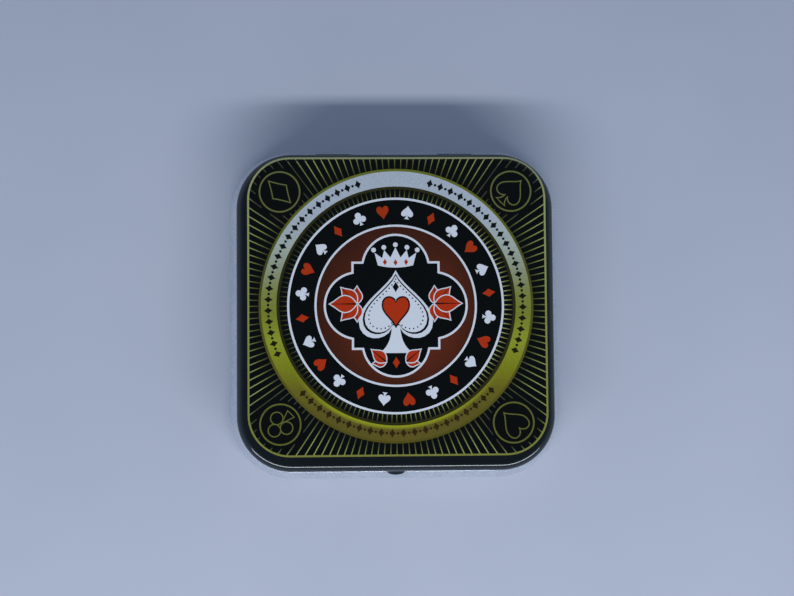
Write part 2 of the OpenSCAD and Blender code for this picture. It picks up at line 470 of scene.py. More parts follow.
def ray_ink():
    """Pale gold lines that come up out of the black, and sink back into it round the marks."""
    material, tree, shader = new_material("fading_gold_line_ink")
    place = in_millimetres(tree, PRINT_SHIFT)
    flat, radius = from_middle(tree, place)
    body = ramp(tree, radius, [(31, "#444220"), (32.4, "#616330"), (34.4, "#92984E"), (36.4, "#A9AF62")])
    folded = add_node(tree, "ShaderNodeVectorMath", {0: flat}, operation="ABSOLUTE")
    away = add_node(tree, "ShaderNodeVectorMath", {
        0: folded, 1: (MARK_C, MARK_C, 0)}, operation="DISTANCE").outputs["Value"]
    near = add_node(tree, "ShaderNodeMapRange", {"Value": away, "From Min": 8.0, "From Max": 6.0})
    paint = add_node(tree, "ShaderNodeMix", {0: near, 6: body, 7: colour("#4A4A33")}, data_type="RGBA")
    varnish(tree, shader, place, paint.outputs[2])
    return material


def tick_ink():
    """Olive ticks that fade outwards, and from the right side of the ring to its left."""
    material, tree, shader = new_material("fading_tick_ink")
    place = in_millimetres(tree, PRINT_SHIFT)
    flat, radius = from_middle(tree, place)
    body = ramp(tree, radius, [(24.8, "#7E8048"), (25.7, "#575524"), (26.7, "#2E2A10")])
    side = add_node(tree, "ShaderNodeVectorMath", {0: flat, 1: (0.039, -0.01, 0)}, operation="DOT_PRODUCT")
    strength = add_node(tree, "ShaderNodeMath", {0: 2.5, 1: side.outputs["Value"]}, operation="POWER")
    paint = add_node(tree, "ShaderNodeVectorMath", {0: body, "Scale": strength}, operation="SCALE")
    varnish(tree, shader, place, paint)
    return material


GOLD_RING_INK = gold_ring_ink()
GROUND_INK = ground_ink()
RAY_INK = ray_ink()
TICK_INK = tick_ink()
# The border's ramp is painted sheen too, lightest at the top
BORDER_INK = blended_ink("olive_border_painted_sheen", [
    (-31, "#615718"), (-16, "#6A641E"), (0, "#5E5B1E"), (8, "#57541D"), (20, "#70731F"), (31, "#7A7E28")])
print("inks that vary ready")

# %% [markdown]
# ## The four suits
#
# Hearts, spades, diamonds and clubs are drawn one unit high, so that the same outline serves as a
# small pip, as a large outlined mark in a corner, and in the emblem.

# %% Suit outlines one unit high


def heart():
    """Two lobes and a point at the bottom."""
    return mirrored(joined(
        bezier((0, 0.27), (0.05, 0.54), (0.45, 0.58), (0.45, 0.22)),
        bezier((0.45, 0.22), (0.45, -0.06), (0.16, -0.2), (0, -0.5))))


def spade_half():
    """The right side of a spade's body, from its tip down to where the stem begins."""
    return joined(
        bezier((0, 0.5), (0.08, 0.3), (0.45, 0.12), (0.45, -0.12)),
        bezier((0.45, -0.12), (0.45, -0.36), (0.14, -0.38), (0.05, -0.2)))


def spade():
    """The body on a flared stem."""
    stem = bezier((0.05, -0.2), (0.06, -0.36), (0.12, -0.45), (0.2, -0.5))
    return mirrored(joined(spade_half(), stem, [(0, -0.5)]))


def diamond():
    """Four slightly hollow sides."""
    half = bezier((0, 0.5), (0.1, 0.31), (0.2, 0.14), (0.31, 0), 4)
    return mirrored(joined(half, [(x, -y) for x, y in reversed(half)]))


def club():
    """Three round leaves on a flared stem."""
    leaf_r = 0.23
    stem = bezier((0.044, -0.169), (0.05, -0.34), (0.1, -0.45), (0.16, -0.5), 5)
    return mirrored(joined(
        arc(0, 0.26, leaf_r, 90, -34.7, 12), arc(0.26, -0.09, leaf_r, 108, -160, 20), stem, [(0, -0.5)]))


SUITS = {"heart": heart(), "spade": spade(), "diamond": diamond(), "club": club()}
print({name: len(loop) for name, loop in SUITS.items()}, "points in each suit")

# %% [markdown]
# ## What repeats round a circle
#
# The ticks, pips, rays and the ornament in the ring are each one shape set many times round a
# circle, and the same is true of the reeding on the button's edge. Copies could be made in a loop,
# but a Geometry Nodes tree with named inputs makes the rule visible: points round a circle, one copy
# on each, turned to face outwards. Angles run clockwise from the top, as on a clock.

# %% Running a tree once


def new_tree(name, inputs):
    """An empty Geometry Nodes tree with these named inputs. Gives the tree and its input node."""
    tree = bpy.data.node_groups.new(name, "GeometryNodeTree")
    for title, kind in inputs.items():
        tree.interface.new_socket(title, in_out="INPUT", socket_type="NodeSocket" + kind)
    tree.interface.new_socket("Geometry", in_out="OUTPUT", socket_type="NodeSocketGeometry")
    return tree, add_node(tree, "NodeGroupInput").outputs


def finish_tree(tree, copies, finish):
    """Ends a tree: its instances become plain mesh, and the mesh gets its material."""
    real = add_node(tree, "GeometryNodeRealizeInstances", {"Geometry": copies})
    painted = add_node(tree, "GeometryNodeSetMaterial", {"Geometry": real, "Material": finish})
    add_node(tree, "NodeGroupOutput", {"Geometry": painted})
    return tree


def grown(name, tree, values, place=as_drawn):
    """Runs a tree with these values for its inputs, and keeps the result as a plain mesh."""
    obj = bpy.data.objects.new(name, bpy.data.meshes.new(name + "_start"))
    bpy.context.scene.collection.objects.link(obj)
    modifier = obj.modifiers.new("grow", "NODES")
    modifier.node_group = tree
    for item in tree.interface.items_tree:
        if item.name in values:
            modifier[item.identifier] = values[item.name]
    evaluated = obj.evaluated_get(bpy.context.evaluated_depsgraph_get())
    mesh = bpy.data.meshes.new_from_object(evaluated)
    obj.modifiers.clear()
    obj.data = mesh
    mesh.name = name
    for vertex in mesh.vertices:
        vertex.co = Vector(place(vertex.co)) * MM
    return obj


def stamp(made):
    """A hidden object that holds one shape, for a tree to copy."""
    mesh = bpy.data.meshes.new("stamp")
    made.to_mesh(mesh)
    made.free()
    return bpy.data.objects.new("stamp", mesh)


# %% The ring tree


def build_ring_tree():
    """Points round a circle, with a copy of the shape on each that faces outwards."""
    tree, given = new_tree("ring of copies", {
        "Shape": "Object", "Count": "Int", "Radius": "Float", "First angle": "Float", "Step": "Float",
        "Finish": "Material"})
    index = add_node(tree, "GeometryNodeInputIndex")
    degrees = add_node(tree, "ShaderNodeMath", {
        0: index, 1: given["Step"], 2: given["First angle"]}, operation="MULTIPLY_ADD")
    angle = add_node(tree, "ShaderNodeMath", {0: degrees}, operation="RADIANS")
    east = add_node(tree, "ShaderNodeMath", {0: angle}, operation="SINE")
    north = add_node(tree, "ShaderNodeMath", {0: angle}, operation="COSINE")
    outwards = add_node(tree, "ShaderNodeCombineXYZ", {"X": east, "Y": north})
    place = add_node(tree, "ShaderNodeVectorMath", {
        0: outwards, "Scale": given["Radius"]}, operation="SCALE")
    points = add_node(tree, "GeometryNodePoints", {"Count": given["Count"], "Position": place})
    turned = add_node(tree, "ShaderNodeMath", {0: angle, 1: -1.0}, operation="MULTIPLY")
    shape = add_node(tree, "GeometryNodeObjectInfo", {"Object": given["Shape"]})
    copies = add_node(tree, "GeometryNodeInstanceOnPoints", {
        "Points": points, "Instance": shape.outputs["Geometry"],
        "Rotation": add_node(tree, "ShaderNodeCombineXYZ", {"Z": turned})})
    return finish_tree(tree, copies, given["Finish"])


RING_TREE = build_ring_tree()


def ring_of(name, made, finish, count, radius, first=0.0, step=None, place=as_drawn):
    """Copies of a bmesh round a circle, as one piece."""
    shape = stamp(made)
    obj = grown(name, RING_TREE, {
        "Shape": shape, "Count": count, "Radius": float(radius), "First angle": float(first),
        "Step": float(360 / count if step is None else step), "Finish": finish}, place)
    bpy.data.objects.remove(shape)
    return obj


# %% [markdown]
# ## The round design
#
# The same round design is on the lid and on both faces of the button: a red ground with an emblem, a
# black band with twenty-four pips in it, and a white line on each side of the band. It is written
# once, as a function that takes the surface to print it on.

# %% Ground, band and white lines

GROUND_R = 17.9
INNER_LINE_R = 18.38
BAND_R = 24.05
OUTER_LINE_R = 24.55
PIP_R = 21.3
PIP_HEIGHT = 3.05
UNDERLAP = 0.3
FINE = 180


def print_ground(side, place):
    """A black disc, a red one on it, and white lines that cover the edges of both."""
    band_disc = [circle(BAND_R + UNDERLAP, steps=FINE)]
    ground_disc = [circle(GROUND_R + UNDERLAP, steps=FINE)]
    lines = [[circle(INNER_LINE_R, steps=FINE), circle(GROUND_R, steps=FINE)],
             [circle(OUTER_LINE_R, steps=FINE), circle(BAND_R, steps=FINE)]]
    return [
        piece(side + "_black_band", plate([band_disc], layer(1)), BLACK_INK, place),
        piece(side + "_red_ground", plate([ground_disc], layer(2)), GROUND_INK, place),
        piece(side + "_white_lines", plate(lines, layer(3)), WHITE_INK, place)]


# %% The pips in the band

PIP_ORDER = ["heart", "spade", "diamond", "club"]
PIPS_A_SUIT = 6
PIP_TURN = 15.0
PIP_FIRST = -7.5


def print_pips(side, place):
    """Each suit comes six times, every sixty degrees, with its top outwards."""
    made = []
    for i, suit in enumerate(PIP_ORDER):
        ink = RED_INK if suit in ("heart", "diamond") else WHITE_INK
        shape = plate([[moved(SUITS[suit], scale=PIP_HEIGHT)]], layer(3))
        first = PIP_FIRST + i * PIP_TURN
        made.append(ring_of(f"{side}_{suit}_pips", shape, ink, PIPS_A_SUIT, PIP_R, first, place=place))
    return made


# %% [markdown]
# The emblem is a generic card player's device in the manner of an old ace: a white spade with a
# heart in it, on a black barbed quatrefoil, with leaves in the side lobes and a small crown at the
# top. The quatrefoil is one formula. Its distance from the middle at each angle is the larger of
# four round lobes and a square that shows only as the barbs between them.

# %% Outlines of the emblem

LOBE_AT = 8.5
LOBE_R = 7.3
BARB_AT = 9.5


def quatrefoil(steps=240):
    """Four round lobes with a barb between each two."""
    points = []
    for i in range(steps):
        a = 2 * math.pi * i / steps
        fold = abs((a + math.pi / 4) % (math.pi / 2) - math.pi / 4)
        lobe = LOBE_AT * math.cos(fold) + math.sqrt(max(LOBE_R**2 - (LOBE_AT * math.sin(fold)) ** 2, 0))
        square = BARB_AT / math.cos(fold)
        reach = max(lobe, square)
        points.append((reach * math.cos(a), reach * math.sin(a)))
    return points


def leaf():
    """A pointed leaf that grows up from the origin to a height of one unit."""
    return mirrored(joined(
        bezier((0, 1), (0.08, 0.78), (0.34, 0.62), (0.3, 0.38)),
        bezier((0.3, 0.38), (0.26, 0.16), (0.08, 0.06), (0, 0))))


def leaf_tiers():
    """Leaves in tiers from the bottom up, so that those in one tier never overlap."""
    tiers = []
    for fan in ([(-92, 3.9), (92, 3.9)], [(-47, 5.0), (47, 5.0)], [(0, 6.0)]):
        tiers.append([
            moved(leaf(), s * 8.9, 0.4, size, s * 90 + lean) for s in (-1, 1) for lean, size in fan])
    for tier, lean, size in ((0, 98, 3.0), (1, 50, 4.2)):
        tiers[tier] += [moved(leaf(), 2.3 * s, -12.7, size, s * lean) for s in (-1, 1)]
    return tiers


def crown():
    """Five points on a band that bows down in the middle."""
    return mirrored(joined(
        [(0, 13.2), (1.15, 10.9)], [(2.55, 12.6), (3.0, 10.75)], [(4.75, 12.0), (4.0, 9.1)],
        bezier((4.0, 9.1), (2.6, 8.75), (1.3, 8.6), (0, 8.6), 4)))


def pearls(loop, gap, radius):
    """Small dots along an outline, about gap apart."""
    fine = split_sides(loop, gap / 12)
    return [[circle(radius, x, y, 10)] for x, y in fine[::12]]


# %% Printing the emblem

SPADE_H = 18.6
SPADE_Y = -1.4
BODY = mirrored(joined(spade_half(), [(0, -0.2)]))


def print_emblem(side, place):
    """The black field in its white outline, then the spade and crown, and their details on top."""
    big = moved(SUITS["spade"], 0, SPADE_Y, SPADE_H)
    jewels = [moved(SUITS["diamond"], x, y, 1.5) for x, y in ((-2.4, 9.85), (0, 9.75), (2.4, 9.85))]
    tips = [(0, 13.8)] + [(s * x, y) for x, y in ((2.62, 13.2), (4.95, 12.6)) for s in (1, -1)]
    beads = [circle(0.55, x, y, 16) for x, y in tips]
    inline = [moved(BODY, 0, SPADE_Y + rise, SPADE_H * size) for rise, size in ((0.25, 0.9), (0.32, 0.845))]
    foot = moved(SUITS["diamond"], 0, -12.9, 2.6)
    centre = moved(SUITS["heart"], 0, -1.3, 6.4)
    gem = moved(SUITS["diamond"], 0, 4.2, 2.4)
    dots = pearls(moved(BODY, 0, SPADE_Y + 0.5, SPADE_H * 0.74), 1.0, 0.17)
    return [
        piece(side + "_emblem_outline", plate([[offset(quatrefoil(), 0.5)]], layer(3)), WHITE_INK, place),
        piece(side + "_emblem_field", plate([[quatrefoil()]], layer(4)), BLACK_INK, place),
        piece(side + "_emblem_white", plate([[offset(big, 0.05)], [crown()]], layer(5)), WHITE_INK, place),
        piece(side + "_crown_beads", plate([[b] for b in beads], layer(5.5)), WHITE_INK, place),
        piece(side + "_emblem_black", plate(
            [inline, *dots, [offset(centre, 0.35)], [gem]], layer(6)), BLACK_INK, place),
        piece(side + "_emblem_red", plate(
            [[loop] for loop in (centre, *jewels, foot)], layer(7)), RED_INK, place)]


LEAF_LAYER = 5.2
PART_RISE = 0.6


def print_leaves(side, place):
    """Each tier of leaves has a white edge, a red blade and a black midrib."""
    made = []
    for n, tier in enumerate(leaf_tiers()):
        edges = [offset(blade, 0.24) for blade in tier]
        ribs = [stroke([blade[0], blade[len(blade) // 2]], [0.06, 0.34]) for blade in tier]
        parts = (("edges", edges, WHITE_INK), ("blades", tier, RED_INK), ("ribs", ribs, BLACK_INK))
        for k, (part, loops, ink) in enumerate(parts):
            shape = plate([[loop] for loop in loops], layer(LEAF_LAYER + PART_RISE * (3 * n + k)))
            made.append(piece(f"{side}_leaf_{part}_{n}", shape, ink, place))
    return made


def print_design(side, place, body):
    """Prints the whole round design and lets it ride on its body."""
    made = print_ground(side, place) + print_pips(side, place) + print_emblem(side, place)
    made += print_leaves(side, place)
    for obj in made:
        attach(obj, body)
    print(side, "design:", len(made), "pieces,", sum(len(o.data.polygons) for o in made), "faces")


print_design("lid", on_lid, "lid")
print_design("front", on_front, "base")
print_design("back", on_back, "base")

# %% [markdown]
# ## The lid's own printing
#
# Round the design the lid has more: a ring of fine ticks, the broad gold ring with an ornament in
# three arcs, an olive border, and a sunburst of rays that ends at a frame line. A ray stops where it
# meets the frame, and it leaves a gap round each corner mark. That could be worked out with algebra,
# but a tree can simply look: each ray is cast until it meets a fence, and its length is what it saw.

# %% Ticks and the gold ring

RAY_COUNT = 148
TICK_LOW, TICK_HIGH = 24.6, 26.45
TICK_W = 0.21
LINE_W = 0.22
RING_LOW, RING_HIGH = 27.08, 30.56
BORDER_HIGH = 31.1
RING_SLIP = (0.13, 0.01)

HALF_TICK = [(TICK_W / 2, TICK_HIGH), (TICK_W / 2, TICK_LOW)]
tick = plate([[mirrored(HALF_TICK)]], layer(1))
lid_ticks = ring_of("lid_ticks", tick, TICK_INK, RAY_COUNT, 0, place=on_lid)


def flat_ring(name, low, high, finish):
    """A printed ring, a hair out of register with the rest, since gold has its own plate."""
    loops = [circle(high, *RING_SLIP, steps=FINE), circle(low, *RING_SLIP, steps=FINE)]
    return piece(name, plate([loops], layer(2)), finish, on_lid)


lid_print = [
    lid_ticks,
    flat_ring("lid_ring_shade", TICK_HIGH, RING_LOW, SHADE_INK),
    flat_ring("lid_gold_ring", RING_LOW, RING_HIGH, GOLD_RING_INK),
    flat_ring("lid_ring_border", RING_HIGH, BORDER_HIGH, BORDER_INK)]

# %% [markdown]
# Three arcs of lozenges and dots fill the gold ring, where such a tin often has words. They leave the
# ring plain at the top and at two places lower down.

# %% The ornament in the gold ring

ORNAMENT_R = (RING_LOW + RING_HIGH) / 2
ORNAMENT_STEP = 5.0
ARC_STARTS = (16, 132, 248)
LOZENGES = 20
LOZENGE = (2.0, 1.5)
DOT_R = 0.3


def lozenge(height, width):
    """A diamond with hollow sides."""
    pull_out, pull_in = (0.16 * width, 0.24 * height), (0.32 * width, 0.12 * height)
    half = bezier((0, height / 2), pull_out, pull_in, (width / 2, 0), 4)
    return mirrored(joined(half, [(x, -y) for x, y in reversed(half)]))


for n, start in enumerate(ARC_STARTS):
    rows = (("lozenges", lozenge(*LOZENGE), LOZENGES, start),
            ("dots", circle(DOT_R, steps=14), LOZENGES - 1, start + ORNAMENT_STEP / 2))
    for kind, loop, count, first in rows:
        lid_print.append(ring_of(
            f"lid_{kind}_{n}", plate([[loop]], layer(3)), ORNAMENT_INK, count, ORNAMENT_R, first,
            ORNAMENT_STEP, on_lid))
print(len(ARC_STARTS), "arcs of", LOZENGES, "lozenges with dots between them")

# %% The tree of rays

FRAME_HALF = 33.68
FRAME_W = 0.42
FRAME_R = 9.3
FRAME_SHIFT = (0.42, -0.07)
MARK_SHIFT = (0.13, -0.34)
MARK_R = 4.55
MARK_GAP = 0.9
FENCE_H = 2.0


def fence(loops):
    """Upright walls along outlines, for rays to run into."""
    made = bmesh.new()
    for loop in loops:
        low, high = [[made.verts.new((x, y, z)) for x, y in loop] for z in (-FENCE_H, FENCE_H)]
        for i in range(len(loop)):
            made.faces.new((low[i - 1], low[i], high[i], high[i - 1]))
    return made


def build_ray_tree():
    """Long rays go out until they meet a fence, and short ones come back in from the frame."""
    tree, given = new_tree("rays to a fence", {
        "Ray": "Object", "Frame": "Object", "Marks": "Object", "Count": "Int", "Start radius": "Float",
        "Line width": "Float", "Finish": "Material"})
    ray, frame_wall, mark_walls = [
        add_node(tree, "GeometryNodeObjectInfo", {"Object": given[n]}).outputs["Geometry"]
        for n in ("Ray", "Frame", "Marks")]
    index = add_node(tree, "GeometryNodeInputIndex")
    share = add_node(tree, "ShaderNodeMath", {0: index, 1: given["Count"]}, operation="DIVIDE")
    angle = add_node(tree, "ShaderNodeMath", {0: share, 1: 2 * math.pi}, operation="MULTIPLY")
    east = add_node(tree, "ShaderNodeMath", {0: angle}, operation="SINE")
    north = add_node(tree, "ShaderNodeMath", {0: angle}, operation="COSINE")
    outwards = add_node(tree, "ShaderNodeCombineXYZ", {"X": east, "Y": north})
    inwards = add_node(tree, "ShaderNodeVectorMath", {0: outwards, "Scale": -1.0}, operation="SCALE")
    first = add_node(tree, "ShaderNodeVectorMath", {
        0: outwards, "Scale": given["Start radius"]}, operation="SCALE")
    turn = add_node(tree, "ShaderNodeMath", {0: math.pi / 2, 1: angle}, operation="SUBTRACT")
    facing = add_node(tree, "ShaderNodeCombineXYZ", {"Z": turn})
    back = add_node(tree, "ShaderNodeMath", {0: turn, 1: math.pi}, operation="ADD")
    facing_back = add_node(tree, "ShaderNodeCombineXYZ", {"Z": back})
    both = add_node(tree, "GeometryNodeJoinGeometry")
    tree.links.new(frame_wall, both.inputs[0])
    tree.links.new(mark_walls, both.inputs[0])
    seen = add_node(tree, "GeometryNodeRaycast", {
        "Target Geometry": both, "Source Position": first, "Ray Direction": outwards})
    reach = add_node(tree, "GeometryNodeRaycast", {
        "Target Geometry": frame_wall, "Source Position": first, "Ray Direction": outwards})
    edge = add_node(tree, "ShaderNodeVectorMath", {
        0: outwards, "Scale": reach.outputs["Hit Distance"]}, operation="SCALE")
    edge = add_node(tree, "ShaderNodeVectorMath", {0: edge, 1: first}, operation="ADD")
    stub = add_node(tree, "GeometryNodeRaycast", {
        "Target Geometry": mark_walls, "Source Position": edge, "Ray Direction": inwards,
        "Ray Length": reach.outputs["Hit Distance"]})
    inner = add_node(tree, "GeometryNodePoints", {"Count": given["Count"], "Position": first})
    outer = add_node(tree, "GeometryNodePoints", {"Count": given["Count"], "Position": edge})
    long_rays = add_node(tree, "GeometryNodeInstanceOnPoints", {
        "Points": inner, "Instance": ray, "Rotation": facing,
        "Scale": add_node(tree, "ShaderNodeCombineXYZ", {
            "X": seen.outputs["Hit Distance"], "Y": given["Line width"], "Z": 1.0})})
    short_rays = add_node(tree, "GeometryNodeInstanceOnPoints", {
        "Points": outer, "Instance": ray, "Rotation": facing_back,
        "Selection": stub.outputs["Is Hit"],
        "Scale": add_node(tree, "ShaderNodeCombineXYZ", {
            "X": stub.outputs["Hit Distance"], "Y": given["Line width"], "Z": 1.0})})
    all_rays = add_node(tree, "GeometryNodeJoinGeometry")
    tree.links.new(long_rays.outputs[0], all_rays.inputs[0])
    tree.links.new(short_rays.outputs[0], all_rays.inputs[0])
    return finish_tree(tree, all_rays, given["Finish"])


# %% Casting the rays

RAY_STEPS = 10
RAY_TUCK = 0.25


def strip(steps, top):
    """A flat bar from 0 to 1 along X, cut across so that it can bend, most often near its far end."""
    made = bmesh.new()
    rows = []
    for i in range(steps + 1):
        corners = [(-0.5, -INK_SUNK), (0.5, -INK_SUNK), (0.5, top), (-0.5, top)]
        along = 1 - (1 - i / steps) ** 2
        rows.append([made.verts.new((along, y, z)) for y, z in corners])
    for near, far in zip(rows, rows[1:]):
        for i in range(4):
            made.faces.new((near[i - 1], near[i], far[i], far[i - 1]))
    made.faces.new(rows[0])
    made.faces.new(rows[-1])
    bmesh.ops.recalc_face_normals(made, faces=made.faces)
    return made


mark_places = [(x * MARK_C + MARK_SHIFT[0], y * MARK_C + MARK_SHIFT[1]) for y in (1, -1) for x in (-1, 1)]
ray_stamp = stamp(strip(RAY_STEPS, layer(1)))
frame_stamp = stamp(fence([moved(rounded_square(FRAME_HALF, FRAME_R), *FRAME_SHIFT)]))
mark_stamp = stamp(fence([circle(MARK_R + MARK_GAP, x, y) for x, y in mark_places]))
lid_rays = grown("lid_rays", build_ray_tree(), {
    "Ray": ray_stamp, "Frame": frame_stamp, "Marks": mark_stamp, "Count": RAY_COUNT,
    "Start radius": BORDER_HIGH - RAY_TUCK, "Line width": LINE_W, "Finish": RAY_INK}, on_lid)
for helper in (ray_stamp, frame_stamp, mark_stamp):
    bpy.data.objects.remove(helper)
lid_print.append(lid_rays)
print("rays:", len(lid_rays.data.polygons) // (4 * RAY_STEPS + 2), "bars")

# %% [markdown]
# The frame line is drawn as five narrow strips side by side, so that it can follow the lid's rounding
# where it runs over it. The corner marks are a thin circle each with an outlined suit, whose top
# points to its own corner.

# %% Frame line and corner marks

FRAME_STRIPS = 5
MARGIN_W = 1.1
MARK_LINE = 0.36
SUIT_LINE = 0.26


def bent_ring(loops, top):
    """A closed ring between the first and last of several nested outlines, following all of them."""
    made = bmesh.new()
    rows = [[made.verts.new((x, y, z)) for x, y in loop] for z in (-INK_SUNK, top) for loop in loops]
    count = len(loops)
    pairs = [(i, i + 1) for i in range(count - 1)] + [(count + i, count + i + 1) for i in range(count - 1)]
    for a, b in pairs + [(0, count), (count - 1, 2 * count - 1)]:
        for i in range(len(rows[a])):
            made.faces.new((rows[a][i - 1], rows[a][i], rows[b][i], rows[b][i - 1]))
    bmesh.ops.recalc_face_normals(made, faces=made.faces)
    return made


frame_outline = split_sides(moved(rounded_square(FRAME_HALF, FRAME_R), *FRAME_SHIFT))
frame_loops = [offset(frame_outline, FRAME_W * (k / FRAME_STRIPS - 0.5)) for k in range(FRAME_STRIPS + 1)]
ground_loops = [offset(frame_outline, -MARGIN_W * k / FRAME_STRIPS) for k in range(FRAME_STRIPS + 1)]
lid_print.append(piece("lid_black_margin", bent_ring(ground_loops, layer(0.5)), BLACK_INK, on_lid))
ground_shape = [ground_loops[-1], circle(BAND_R, steps=FINE)]
lid_print.append(piece("lid_black_ground", plate([ground_shape], layer(0.5)), BLACK_INK, on_lid))
lid_print.append(piece("lid_frame_line", bent_ring(frame_loops, layer(2)), FRAME_INK, on_lid))

MARKS = [("diamond", 7.0, -45), ("spade", 6.8, 45), ("club", 7.0, -135), ("heart", 6.2, 135)]
mark_shapes = []
for (suit, height, turn), (x, y) in zip(MARKS, mark_places):
    mark_shapes.append(band(circle(MARK_R, x, y), MARK_LINE))
    if suit != "club":
        mark_shapes.append(band(moved(SUITS[suit], x, y, height, turn), SUIT_LINE))
lid_print.append(piece("lid_corner_marks", plate(mark_shapes, layer(2)), MARK_INK, on_lid))

# The club is drawn as three whole rings that cross, each a little higher, and a stem between them
club_place = (*mark_places[2], *MARKS[2][1:])
for n, (x, y) in enumerate(((-0.22, -0.06), (0.22, -0.06), (0, 0.27))):
    ring = band(moved(circle(0.2, x, y, 32), *club_place), SUIT_LINE)
    lid_print.append(piece(f"lid_club_ring_{n}", plate([ring], layer(2 + 0.4 * n)), MARK_INK, on_lid))
stem = band(moved(mirrored([(0.02, -0.12), (0.15, -0.48)]), *club_place), SUIT_LINE * 0.8)
lid_print.append(piece("lid_club_stem", plate([stem], layer(3.2)), MARK_INK, on_lid))

for obj in lid_print:
    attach(obj, "lid")
print("lid printing:", len(lid_print), "pieces,", sum(len(o.data.polygons) for o in lid_print), "faces")

# %% [markdown]
# ## Tinplate
#
# The tin is drawn from tinplate, mild steel 0.3 mm thick with a bright layer of tin. Outside, the lid
# is coated glossy black before it is printed. Inside, and all over the base, the plate is left bare
# under a clear lacquer. Bare tinplate is a satin metal: rolling leaves fine parallel lines in it, and
# handling leaves faint scuffs. The lid is one CAD piece with both finishes, so its material finds
# out by itself how deep a point lies below the lid's outer surface.

# %% Bare tinplate

ROLLING_MM = 0.12


def add_tinplate(tree, place):
    """Bare lacquered tinplate: a milky satin metal, with fine rolling lines that streak its gloss."""
    stretched = add_node(tree, "ShaderNodeMapping", {"Vector": place, "Scale": (0.04, 1, 1)})
    lines = add_node(tree, "ShaderNodeTexNoise", {
        "Vector": stretched, "Scale": 1 / ROLLING_MM, "Detail": 3})
    clouds = add_node(tree, "ShaderNodeTexNoise", {"Vector": place, "Scale": 1 / 7, "Detail": 4})
    tone = add_node(tree, "ShaderNodeMath", {0: lines, 1: clouds}, operation="ADD")
    tint = ramp(tree, tone, [(0.7, "#CBCFD6"), (1.0, "#D3D6DD"), (1.3, "#DADDE3")])
    rough = add_node(tree, "ShaderNodeMapRange", {
        "Value": tone, "From Min": 0.6, "From Max": 1.4, "To Min": 0.2, "To Max": 0.34})
    grain = add_node(tree, "ShaderNodeBump", {"Height": lines, "Strength": 0.06, "Distance": 0.01 * MM})
    return add_node(tree, "ShaderNodeBsdfPrincipled", {
        "Base Color": tint, "Metallic": 0.6, "Roughness": rough, "Normal": grain})


# The thumb notch is the dent of a ball; its painted shade, near black, reaches a hair past the dent
NOTCH_AT = (0, -38.2, 10.35)
NOTCH_SHADE_R = 3.09


def bare_tinplate():
    """The bright milky base, with painted shade in the thumb notch in its front."""
    material, tree, shader = new_material("bare_lacquered_tinplate")
    place = in_millimetres(tree)
    metal = add_tinplate(tree, place)
    # Painted shade: a near-black varnished colour in the notch stands in for the shade in its recess under
    # the lid's edge
    paint = add_node(tree, "ShaderNodeRGB")
    paint.outputs[0].default_value = colour("#161C1F")
    varnish(tree, shader, place, paint, 0.2)
    # Within a hair more than the ball's radius of its middle, the painted shade replaces the metal
    away = add_node(tree, "ShaderNodeVectorMath", {0: place, 1: NOTCH_AT}, operation="DISTANCE")
    notch = add_node(tree, "ShaderNodeMath", {
        0: away.outputs["Value"], 1: NOTCH_SHADE_R}, operation="LESS_THAN")
    mixed = add_node(tree, "ShaderNodeMixShader", {0: notch, 1: metal, 2: shader})
    tree.links.new(mixed.outputs[0], tree.nodes["Material Output"].inputs["Surface"])
    return material


# %% Black coated lid

LACQUER_DEPTH = SHEET / 2


def black_coated_tinplate():
    """Stoved black lacquer outside, which shows a lamp as a thin bright line; bare tin inside."""
    material, tree, shader = new_material("black_coated_tinplate")
    place = in_millimetres(tree)
    clouds = add_node(tree, "ShaderNodeTexNoise", {"Vector": place, "Scale": 1 / 11, "Detail": 2})
    varnish(tree, shader, place, ramp(tree, clouds, [(0.3, "#0D1214"), (0.7, "#11181A")]), 0.2)
    shader.inputs["IOR"].default_value = 1.65
    metal = add_tinplate(tree, place)
    flat = add_node(tree, "ShaderNodeVectorMath", {0: place, 1: (1, 1, 0)}, operation="MULTIPLY")
    folded = add_node(tree, "ShaderNodeVectorMath", {0: flat}, operation="ABSOLUTE")
    beyond = add_node(tree, "ShaderNodeVectorMath", {
        0: folded, 1: (CORNER_C, CORNER_C, 0)}, operation="SUBTRACT")
    beyond = add_node(tree, "ShaderNodeVectorMath", {0: beyond, 1: (0, 0, 0)}, operation="MAXIMUM")
    out = add_node(tree, "ShaderNodeVectorMath", {0: beyond}, operation="LENGTH").outputs["Value"]
    # Nested the same way upright: how far out past the rounding's centre, and how far up past it
    over = add_node(tree, "ShaderNodeMath", {0: out, 1: LID_CORNER_R - LID_EDGE_R}, operation="SUBTRACT")
    over = add_node(tree, "ShaderNodeMath", {0: over, 1: 0.0}, operation="MAXIMUM")
    height = add_node(tree, "ShaderNodeSeparateXYZ", {"Vector": place}).outputs["Z"]
    up = add_node(tree, "ShaderNodeMath", {0: height, 1: LID_TOP - LID_EDGE_R}, operation="SUBTRACT")
    up = add_node(tree, "ShaderNodeMath", {0: up, 1: 0.0}, operation="MAXIMUM")
    corner = add_node(tree, "ShaderNodeCombineXYZ", {"X": over, "Y": up})
    reach = add_node(tree, "ShaderNodeVectorMath", {0: corner}, operation="LENGTH").outputs["Value"]
    outside = add_node(tree, "ShaderNodeMath", {
        0: reach, 1: LID_EDGE_R - LACQUER_DEPTH}, operation="GREATER_THAN")
    hem = add_node(tree, "ShaderNodeMath", {0: height, 1: LID_TOP - HEM_DOWN}, operation="LESS_THAN")
    coated = add_node(tree, "ShaderNodeMath", {0: outside, 1: hem}, operation="MAXIMUM")
    mixed = add_node(tree, "ShaderNodeMixShader", {0: coated, 1: metal, 2: shader})
    tree.links.new(mixed.outputs[0], tree.nodes["Material Output"].inputs["Surface"])
    return material


def set_finish(node, material):
    """Gives a carried-over CAD node its material."""
    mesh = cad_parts[node].data
    mesh.materials.clear()
    mesh.materials.append(material)


